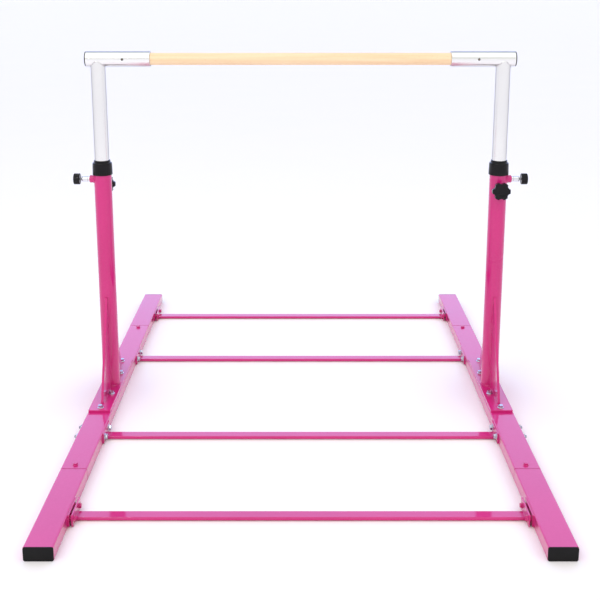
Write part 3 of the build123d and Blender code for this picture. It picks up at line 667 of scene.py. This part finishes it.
def knob_rings(start, length):
    """A fluted pull knob with soft ends and a dished outer face."""
    corner = PULL["corner"]
    core = PULL["radius"] - corner
    pitch = 2 * math.pi / PULL["flutes"]

    def fluted(radius, height):
        def ring(angle):
            across = abs((angle / pitch) % 1.0 - 0.5) * pitch * PULL["radius"]
            reach = math.sqrt(max(0.0, PULL["flute_radius"] ** 2 - across**2)) - 0.0009
            return radius - max(0.0, reach), start + height

        return ring

    rings = [(0.012, start), (0.0152, start)]
    for step in range(7):
        turn = QUARTER * step / 6
        rings.append(fluted(core + corner * math.sin(turn), corner * (1 - math.cos(turn))))
    for step in range(7):
        turn = QUARTER * step / 6
        height = length - corner * (1 - math.sin(turn))
        rings.append(fluted(core + corner * math.cos(turn), height))
    rings += [(0.0148, start + length), (0.0138, start + length - 0.0006)]
    rings.append((0.004, start + length - 0.0014))
    return rings


def star_outline(angle):
    """Radius of the six-lobed outline: a circle less six round notches, corners softened."""
    sector = math.pi / 3
    turn = abs((angle / sector) % 1.0 - 0.5) * sector
    centre = STAR["radius"] + STAR["notch_radius"] - STAR["notch_depth"]
    across = centre * math.sin(turn)
    notch = STAR["tip"]
    if across < STAR["notch_radius"]:
        cut = centre * math.cos(turn) - math.sqrt(STAR["notch_radius"] ** 2 - across**2)
        notch = min(cut, notch)
    sharp = 2600.0
    return -math.log(math.exp(-sharp * STAR["radius"]) + math.exp(-sharp * notch)) / sharp


def lobed(inset, height):
    return lambda angle: (star_outline(angle) - inset, height)


def star_knobs():
    """Six-lobed clamp knobs: rounded lobes, dished face and a round hub."""
    for side, sign in SIDES.items():
        node_name = side + "_clamp_knob"
        low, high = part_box(node_name)
        near = min(abs(low.y), abs(high.y))
        axis = pointing((middle(node_name).x, -sign * near, KNOB_Z), (0, -sign, 0))
        rings = [(0.010, 0.0), (0.0122, 0.0), (0.013, 0.0008), (0.013, 0.0084), (0.0142, 0.009)]
        rings += [lobed(0.0022, 0.009), lobed(0.0006, 0.0096), lobed(0.0, 0.0112)]
        for step in range(8):
            turn = QUARTER * step / 7
            inset = STAR_CORNER * (1 - math.cos(turn))
            rings.append(lobed(inset, STAR["height"] - STAR_CORNER * (1 - math.sin(turn))))
        rings += [(0.0195, STAR["height"]), (0.0185, 0.0267), (0.015, 0.0257)]
        rings += [(0.010, 0.0247), (0.004, 0.0242)]
        shape = bmesh.new()
        turned(shape, rings, axis, 240)
        finished(side + "_star_knob", shape, "black_gloss_plastic", side + "_clamp", [node_name])


# ---- fasteners -------------------------------------------------------------------------------
BOLT = {"thread": 0.010, "flats": 0.015, "flange": 0.021, "head": 0.009}
SCREW = {"thread": 0.008, "flats": 0.013, "flange": 0.017, "head": 0.0065}
NUT_HEIGHT = 0.008
THREAD_PITCH = 0.0015
THREAD_SHOWN = 0.014


def hexagon_rings(size, height, flange=0.002):
    """A hexagon on a domed flange, its corners turned off to a cone."""
    half = size["flats"] / 2

    def outline(angle):
        return half / math.cos((angle + math.pi / 6) % (math.pi / 3) - math.pi / 6)

    def corner(angle):
        radius = outline(angle)
        return radius, height - max(0.0, radius - half * 0.985) * 0.62

    rings = [(size["flange"] / 2 - 0.0002, 0.0), (size["flange"] / 2, 0.0003)]
    rings += [(size["flange"] / 2, 0.0009), (size["flange"] / 2 - 0.0011, flange * 0.9)]
    rings.append(lambda angle: (outline(angle) + 0.0002, flange))
    rings.append(lambda angle: (outline(angle), flange + 0.0003))
    rings += [corner, (half * 0.95, height)]
    return rings


def crown_rings(size):
    """The shallow dish on top of a forged head."""
    return [
        (size["flats"] * 0.33, size["head"]),
        (size["flats"] * 0.30, size["head"] - 0.0004),
    ]


def thread_rings(radius, end, pitch):
    """Rings of a screw thread's visible turns, with a chamfered end."""
    rings = []
    steps = max(1, round(end / pitch * 6))
    for step in range(steps + 1):
        height = end * step / steps

        def ring(angle, height=height):
            phase = (height / pitch - angle / (2 * math.pi)) % 1.0
            depth = pitch * 0.55 * (1 - abs(2 * phase - 1))
            taper = max(0.0, 0.0012 - (end - height)) * 0.8
            return radius - min(depth, pitch * 0.5) * 0.9 - taper, height

        rings.append(ring)
    return rings


def screw_heads(name, slot, body, node_name, places, size):
    """Flange screws: each place is (seat, direction, shank length)."""
    shape = bmesh.new()
    for index, (seat, direction, shank) in enumerate(places):
        spin = Matrix.Rotation(0.4 + 1.3 * index, 4, "Z")
        place = pointing(seat, direction) @ spin
        radius = size["thread"] / 2
        rings = [(radius, -shank), (radius, 0.0)]
        rings += hexagon_rings(size, size["head"])
        turned(shape, rings + crown_rings(size), place, 72)
    finished(name, shape, slot, body, [node_name], crease=24)


def solid_boxes(node_name):
    """Low and high corners of each separate solid of a CAD node, in a settled order."""
    mesh = frame["nodes"][node_name].data
    shape = bmesh.new()
    shape.from_mesh(mesh)
    bmesh.ops.remove_doubles(shape, verts=shape.verts, dist=0.00001)
    left = set(shape.verts)
    found = []
    while left:
        stack = [left.pop()]
        group = []
        while stack:
            vert = stack.pop()
            group.append(vert.co.copy())
            for edge in vert.link_edges:
                other = edge.other_vert(vert)
                if other in left:
                    left.remove(other)
                    stack.append(other)
        low = Vector([min(c[axis] for c in group) for axis in range(3)])
        high = Vector([max(c[axis] for c in group) for axis in range(3)])
        found.append((low, high))
    shape.free()
    return sorted(found, key=lambda pair: tuple(round(c, 4) for c in pair[0]))


def upright_places(node_name, seat_z):
    """Seats of screws that go straight down from a height."""
    places = []
    for low, high in solid_boxes(node_name):
        seat = ((low.x + high.x) / 2, (low.y + high.y) / 2, seat_z)
        places.append((seat, (0, 0, 1), seat_z - low.z))
    return places


def level_places(node_name, size):
    """Seats of screws that lie across the frame, with their heads inward."""
    places = []
    for low, high in solid_boxes(node_name):
        sign = 1 if low.x > 0 else -1
        head_end = low.x if sign > 0 else high.x
        seat = (head_end + sign * size["head"], (low.y + high.y) / 2, (low.z + high.z) / 2)
        places.append((seat, (-sign, 0, 0), high.x - low.x - size["head"]))
    return places


def plate_bolts():
    places = upright_places("base_plate_bolts", PLATE_TOP)
    screw_heads("plate_bolts", "zinc_plate", "base", "base_plate_bolts", places, BOLT)


def seam_screws():
    places = upright_places("joiner_screws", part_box("left_middle_rail")[1].z)
    screw_heads("seam_screws", "pink_paint", "base", "joiner_screws", places, SCREW)


def tie_screws():
    places = level_places("extension_tie_screws", SCREW)
    screw_heads("tie_screws", "pink_paint", "base", "extension_tie_screws", places, SCREW)


def tail_rings(radius, length):
    """The threaded end of a bolt, from its tip up to the plain shank."""
    start = length - THREAD_SHOWN
    rings = [(radius * 0.8, -length)]
    for item in thread_rings(radius, THREAD_SHOWN, THREAD_PITCH)[::-1]:
        rings.append(lambda angle, item=item: (item(angle)[0], -start - item(angle)[1]))
    return rings + [(radius, -start + 0.0005), (radius, 0.0)]


def tie_bolts_and_nuts():
    """Bolts through the middle rails, each with a flange nut on the outer side."""
    bolts, nuts = bmesh.new(), bmesh.new()
    outer_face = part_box("right_middle_rail")[1].x
    radius = BOLT["thread"] / 2
    bore = radius + 0.0001
    for index, (seat, direction, length) in enumerate(level_places("middle_tie_bolts", BOLT)):
        sign = -direction[0]
        spin = Matrix.Rotation(0.9 * index, 4, "Z")
        rings = tail_rings(radius, length) + hexagon_rings(BOLT, BOLT["head"]) + crown_rings(BOLT)
        turned(bolts, rings, pointing(seat, direction) @ spin, 72)
        nut_place = pointing((sign * outer_face, seat[1], seat[2]), (sign, 0, 0)) @ spin
        nut_rings = hexagon_rings(BOLT, NUT_HEIGHT)
        nut_rings += [(bore + 0.0006, NUT_HEIGHT), (bore, NUT_HEIGHT - 0.0007), (bore, 0.0)]
        turned(nuts, nut_rings, nut_place, 72, closed=True)
    finished("tie_bolts", bolts, "zinc_plate", "base", ["middle_tie_bolts"], crease=24)
    finished("tie_nuts", nuts, "zinc_plate", "base", ["middle_tie_nuts"], crease=24)


# ---- welds -----------------------------------------------------------------------------------
def foot_weld(shape, centre):
    """A bead round the upright on its base plate."""
    reach = UPRIGHT_RADIUS + 0.0006
    points = []
    for step in range(230):
        turn = 2 * math.pi * step / 230
        x = centre + reach * math.cos(turn)
        points.append(Vector((x, reach * math.sin(turn), PLATE_TOP + 0.0006)))
    bead(shape, points, 0.0030, closed=True)


def gusset_welds(shape, centre, side):
    """Beads up the upright and along the base plate, on both sides of each gusset."""
    low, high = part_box(side + "_gussets")
    half = (high.x - low.x) / 2
    touch = math.sqrt(UPRIGHT_RADIUS**2 - half**2)
    for end in (-1, 1):
        for flank in (-1, 1):
            x = centre + flank * (half + 0.0003)
            y = end * (touch + 0.0003)
            start = (x, y, PLATE_TOP + 0.003)
            bead(shape, line(start, (x, y, high.z - 0.003)), 0.0020)
            toe = end * (high.y - 0.002)
            start = (x, y, PLATE_TOP + 0.0004)
            bead(shape, line(start, (x, toe, PLATE_TOP + 0.0004)), 0.0022)


def boss_weld(shape, centre, sign):
    """A bead round the lock pin's boss, following the upright's curve."""
    reach = 0.0134
    points = []
    for step in range(110):
        turn = 2 * math.pi * step / 110
        y = reach * math.cos(turn)
        x = centre + sign * (math.sqrt(UPRIGHT_RADIUS**2 - y * y) + 0.0004)
        points.append(Vector((x, y, PIN_Z + reach * math.sin(turn))))
    bead(shape, points, 0.0018, closed=True)


def nut_weld(shape, centre, sign):
    """A bead round the clamp knob's hexagon nut, following the upright's curve."""
    points = []
    for step in range(90):
        turn = 2 * math.pi * step / 90
        reach = 0.0085 / math.cos((turn + math.pi / 6) % (math.pi / 3) - math.pi / 6)
        across = reach * math.cos(turn)
        y = -sign * (math.sqrt(UPRIGHT_RADIUS**2 - across**2) + 0.0002)
        points.append(Vector((centre + across, y, KNOB_Z + reach * math.sin(turn))))
    bead(shape, points, 0.0014, closed=True)


def upright_welds():
    for side, sign in SIDES.items():
        centre = middle(side + "_upright").x
        shape = bmesh.new()
        foot_weld(shape, centre)
        gusset_welds(shape, centre, side)
        boss_weld(shape, centre, sign)
        nut_weld(shape, centre, sign)
        finished(side + "_upright_welds", shape, "pink_paint", "base", crease=60)


def tie_welds():
    """Beads round both ends of each cross tie."""
    shape = bmesh.new()
    ties = ("front_middle_tie", "rear_middle_tie", "front_extension_tie", "rear_extension_tie")
    for tie in ties:
        low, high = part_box(tie)
        outline = ((low.y, low.z), (high.y, low.z), (high.y, high.z), (low.y, high.z))
        for x in (low.x + 0.0006, high.x - 0.0006):
            bead(shape, loop_through([(x, y, z) for y, z in outline]), 0.0016, closed=True)
    finished("tie_welds", shape, "pink_paint", "base", crease=60)


def sleeve_welds():
    """A bead where each post meets its sleeve."""
    shape = bmesh.new()
    reach = POST_RADIUS + 0.0002
    for side in SIDES:
        centre = middle(side + "_inner_post").x
        points = []
        for step in range(200):
            turn = 2 * math.pi * step / 200
            y = reach * math.sin(turn)
            z = BAR_Z - math.sqrt(SLEEVE_RADIUS**2 - y * y) - 0.0002
            points.append(Vector((centre + reach * math.cos(turn), y, z)))
        bead(shape, points, 0.0016, closed=True)
    finished("sleeve_welds", shape, "silver_paint", "top_frame", crease=60)


wooden_bar()
sleeves()
posts()
uprights()
collars()
sleeve_plugs()
lock_pins()
springs()
star_knobs()
plate_bolts()
seam_screws()
tie_screws()
tie_bolts_and_nuts()
upright_welds()
tie_welds()
sleeve_welds()


# ---- studio ----------------------------------------------------------------------------------
def floor():
    """A wide pale floor, faintly uneven in tone."""
    mesh = bpy.data.meshes.new("studio_floor")
    shape = bmesh.new()
    bmesh.ops.create_circle(shape, cap_ends=True, radius=60.0, segments=96)
    shape.to_mesh(mesh)
    shape.free()
    thing = bpy.data.objects.new("studio_floor", mesh)
    bpy.context.collection.objects.link(thing)
    material, tree, shader, place = start_material("pale_floor", Specular_IOR_Level=0.25)
    tone = remap(tree, noise(tree, place, 1.3, 3), 0.0, 1.0)
    colour = blend_colours(tree, tone, (0.972, 0.930, 0.925), (0.982, 0.940, 0.935))
    tree.links.new(colour, shader.inputs["Base Color"])
    tree.links.new(remap(tree, tone, 0.5, 0.6, 0, 1), shader.inputs["Roughness"])
    mesh.materials.append(material)


def world():
    """Soft white surroundings: grey at the sides, overhead and behind the camera, lilac beyond."""
    sky = bpy.data.worlds.new("studio_world")
    bpy.context.scene.world = sky
    sky.use_nodes = True
    tree = sky.node_tree
    direction = node(tree, "ShaderNodeTexCoord").outputs["Generated"]
    split = node(tree, "ShaderNodeSeparateXYZ", {"Vector": direction})
    across = remap(tree, split.outputs["X"], 0.0, 1.0, -1, 1)
    ramp = node(tree, "ShaderNodeValToRGB", {"Fac": across})
    stops = ((0.0, 0.18), (0.10, 0.28), (0.22, 1.0), (0.76, 1.0), (0.90, 0.20), (1.0, 0.12))
    band = ramp.color_ramp
    while len(band.elements) < len(stops):
        band.elements.new(0.5)
    for element, (position, value) in zip(band.elements, stops):
        element.position = position
        element.color = (value, value, value, 1.0)
    behind = remap(tree, split.outputs["Y"], 0.0, 1.0, -0.9, -0.1)
    sides = blend_colours(tree, behind, (0.62, 0.62, 0.63), ramp.outputs["Color"])
    horizon = remap(tree, split.outputs["Z"], 0.0, 1.0, 0.04, 0.12)
    sides = blend_colours(tree, horizon, (1.0, 1.0, 1.0), sides)
    height = remap(tree, split.outputs["Z"], 0.0, 1.0, 0.3, 0.75)
    colour = blend_colours(tree, height, sides, (1.0, 1.0, 1.0))
    front = remap(tree, split.outputs["Y"], 0.0, 1.0, 0.2, 0.8)
    low = remap(tree, split.outputs["Z"], 0.0, 1.0, 0.02, 0.2)
    high = remap(tree, split.outputs["Z"], 1.0, 0.0, 0.6, 0.85)
    lilac = node(tree, "ShaderNodeMath", {0: front, 1: low}, operation="MULTIPLY").outputs[0]
    lilac = node(tree, "ShaderNodeMath", {0: lilac, 1: high}, operation="MULTIPLY").outputs[0]
    colour = blend_colours(tree, lilac, colour, (0.88, 1.06, 1.75))
    patch = {0: direction, 1: (0.0, 0.45, 0.89)}
    overhead = node(tree, "ShaderNodeVectorMath", patch, operation="DOT_PRODUCT")
    ceiling = remap(tree, overhead.outputs["Value"], 0.0, 0.75, 0.84, 0.93)
    colour = blend_colours(tree, ceiling, colour, (0.20, 0.20, 0.21))
    surface = tree.nodes["Background"]
    tree.links.new(colour, surface.inputs["Color"])
    surface.inputs["Strength"].default_value = 1.27


def softbox(name, place, target, size, watts, tint=(1.0, 1.0, 1.0)):
    light = bpy.data.lights.new(name, "AREA")
    light.shape = "RECTANGLE"
    light.size, light.size_y = size
    light.energy = watts
    light.color = tint
    thing = bpy.data.objects.new(name, light)
    thing.location = place
    aim = Vector(target) - Vector(place)
    thing.rotation_euler = aim.to_track_quat("-Z", "Y").to_euler()
    bpy.context.collection.objects.link(thing)


def camera():
    lens = bpy.data.cameras.new("camera")
    lens.sensor_width = 36.0
    lens.lens = 57.48
    lens.shift_y = -0.20
    thing = bpy.data.objects.new("camera", lens)
    thing.location = (-0.002, -3.223, 1.488)
    thing.rotation_euler = (math.radians(90.0 - 12.12), 0.0, 0.0)
    bpy.context.collection.objects.link(thing)
    bpy.context.scene.camera = thing


floor()
world()
camera()
softbox("key_softbox", (-2.6, -3.4, 3.6), (0.0, 0.0, 0.5), (2.2, 2.2), 24.0)
softbox("fill_softbox", (2.8, -3.2, 2.4), (0.0, 0.0, 0.5), (1.6, 2.0), 8.0)
softbox("top_softbox", (0.0, 0.6, 4.2), (0.0, 0.0, 0.0), (3.2, 2.4), 14.0, (0.80, 0.92, 1.0))
softbox("glint_softbox", (-1.3, -3.4, 3.3), (0.0, 0.0, 0.7), (0.45, 0.45), 10.0)
bpy.context.scene.view_settings.view_transform = "Standard"
